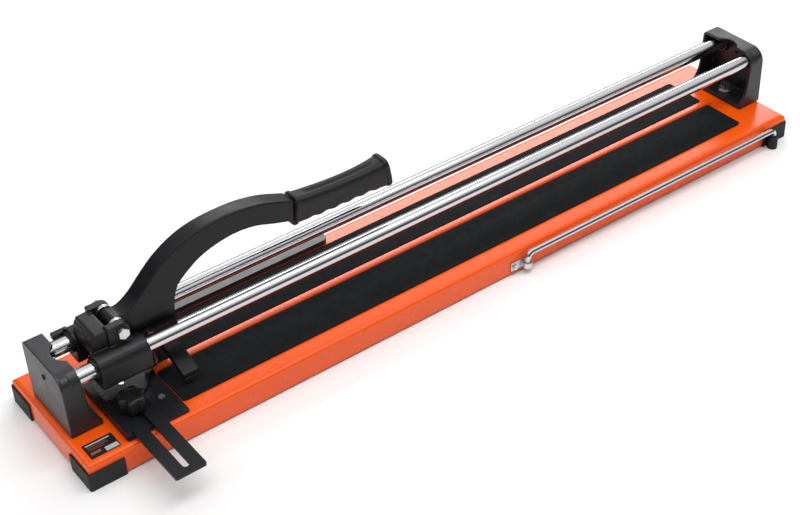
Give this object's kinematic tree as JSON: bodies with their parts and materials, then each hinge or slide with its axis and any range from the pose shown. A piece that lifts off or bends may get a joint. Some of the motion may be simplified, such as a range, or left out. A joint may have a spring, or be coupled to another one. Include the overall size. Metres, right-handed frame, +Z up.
{
  "type": "tile cutter",
  "caption": "Manual rail tile cutter: folded orange base, rubber-topped bed, round chrome guide rails, sliding carriage with handle and scoring wheel, swivelling side fence.",
  "frame": {"origin": "centre of the bounding box's bottom face, on the bench under the feet, with the side fence out to the front", "axes": "+X along the cut from the handle end to the far stand, +Y across towards the back, +Z up"},
  "size_m": [1.2452, 0.3076, 0.2367],
  "materials": {
    "orange_enamel": "glossy powder coat on folded sheet steel",
    "pad_rubber": "fine matt rubber sheet",
    "foot_rubber": "moulded matt rubber",
    "grip_rubber": "soft satin grip",
    "black_casting": "satin black coat on die casting",
    "black_plate": "satin black coat",
    "black_plastic": "moulded, fine grain",
    "label_film": "printed film, left blank",
    "rail_chrome": "polished",
    "bush_bronze": "sintered, satin",
    "wheel_steel": "ground",
    "zinc_hardware": "zinc plated",
    "black_oxide_screw": "blackened"
  },
  "bodies": {
    "base": {"base_plate": "orange_enamel", "bracket_screw": "zinc_hardware", "breaking_rib": "orange_enamel", "far_front_foot": "foot_rubber", "far_rear_foot": "foot_rubber", "far_stand": "black_casting", "far_stand_bolt": "zinc_hardware", "far_stand_cap_screw": "black_oxide_screw", "far_stand_front_set_screw": "black_oxide_screw", "far_stand_rear_set_screw": "black_oxide_screw", "far_stand_washer": "zinc_hardware", "fence_pivot_pin": "zinc_hardware", "fence_plate": "black_plate", "front_pad": "pad_rubber", "front_plate_screw": "zinc_hardware", "front_rail": "rail_chrome", "label_plate": "label_film", "near_front_foot": "foot_rubber", "near_rear_foot": "foot_rubber", "near_stand": "black_casting", "near_stand_bolt": "zinc_hardware", "near_stand_cap_screw": "black_oxide_screw", "near_stand_front_set_screw": "black_oxide_screw", "near_stand_rear_set_screw": "black_oxide_screw", "near_stand_washer": "zinc_hardware", "rear_pad": "pad_rubber", "rear_plate_screw": "zinc_hardware", "rear_rail": "rail_chrome", "rule_pivot_screw": "zinc_hardware", "support_bracket": "zinc_hardware"},
    "carriage": {"carriage_body": "black_casting", "front_near_bush": "bush_bronze", "front_far_bush": "bush_bronze", "rear_near_bush": "bush_bronze", "rear_far_bush": "bush_bronze", "pivot_bolt": "zinc_hardware", "pivot_nut": "zinc_hardware", "front_pivot_washer": "zinc_hardware", "rear_pivot_washer": "zinc_hardware", "front_rail_wiper": "foot_rubber", "rear_rail_wiper": "foot_rubber"},
    "handle": {"handle_arm": "black_casting", "handle_grip": "grip_rubber", "wheel_holder": "zinc_hardware", "wheel_axle": "zinc_hardware", "holder_clamp_screw": "zinc_hardware", "breaker_pin": "zinc_hardware"},
    "wheel": {"cutting_wheel": "wheel_steel"},
    "breaker": {"breaker_foot": "black_casting", "front_breaker_pad": "foot_rubber", "rear_breaker_pad": "foot_rubber"},
    "guide": {"fence_guide": "black_plate", "fence_stud": "zinc_hardware", "fence_washer": "zinc_hardware"},
    "fence": {"fence_arm": "black_plate"},
    "knob": {"fence_knob": "black_plastic"},
    "support": {"support_wire": "rail_chrome", "support_foot": "foot_rubber"},
    "rule": {"rear_side_rule": "black_plate"}
  },
  "joints": [
    {"name": "carriage_slide", "type": "slide", "parent": "base", "child": "carriage", "axis": [1, 0, 0], "range_m": [0, 1]},
    {"name": "handle_tilt", "type": "hinge", "parent": "carriage", "child": "handle", "pos_m": [-0.513, 0.0462, 0.15], "axis": [0, -1, 0], "range_deg": [0, 16]},
    {"name": "wheel_spin", "type": "hinge", "parent": "handle", "child": "wheel", "pos_m": [-0.47, 0.0462, 0.0548], "axis": [0, 1, 0], "continuous": true},
    {"name": "breaker_foot_tilt", "type": "hinge", "parent": "handle", "child": "breaker", "pos_m": [-0.442, 0.0462, 0.106], "axis": [0, 1, 0], "range_deg": [-6, 6]},
    {"name": "fence_swing", "type": "hinge", "parent": "base", "child": "guide", "pos_m": [-0.515, 0.0462, 0.043], "axis": [0, 0, 1], "range_deg": [0, 45]},
    {"name": "fence_slide", "type": "slide", "parent": "guide", "child": "fence", "axis": [0, 1, 0], "range_m": [0, 0.06]},
    {"name": "fence_knob_turn", "type": "hinge", "parent": "guide", "child": "knob", "pos_m": [-0.528, -0.0118, 0.06], "axis": [0, 0, 1], "continuous": true},
    {"name": "front_support_swing", "type": "hinge", "parent": "base", "child": "support", "pos_m": [0.077, -0.0663, 0.032], "axis": [0, 0, -1], "range_deg": [0, 90]},
    {"name": "rear_rule_swing", "type": "hinge", "parent": "base", "child": "rule", "pos_m": [-0.396, 0.1372, 0.042], "axis": [0, 0, 1], "range_deg": [0, 90]}
  ]
}
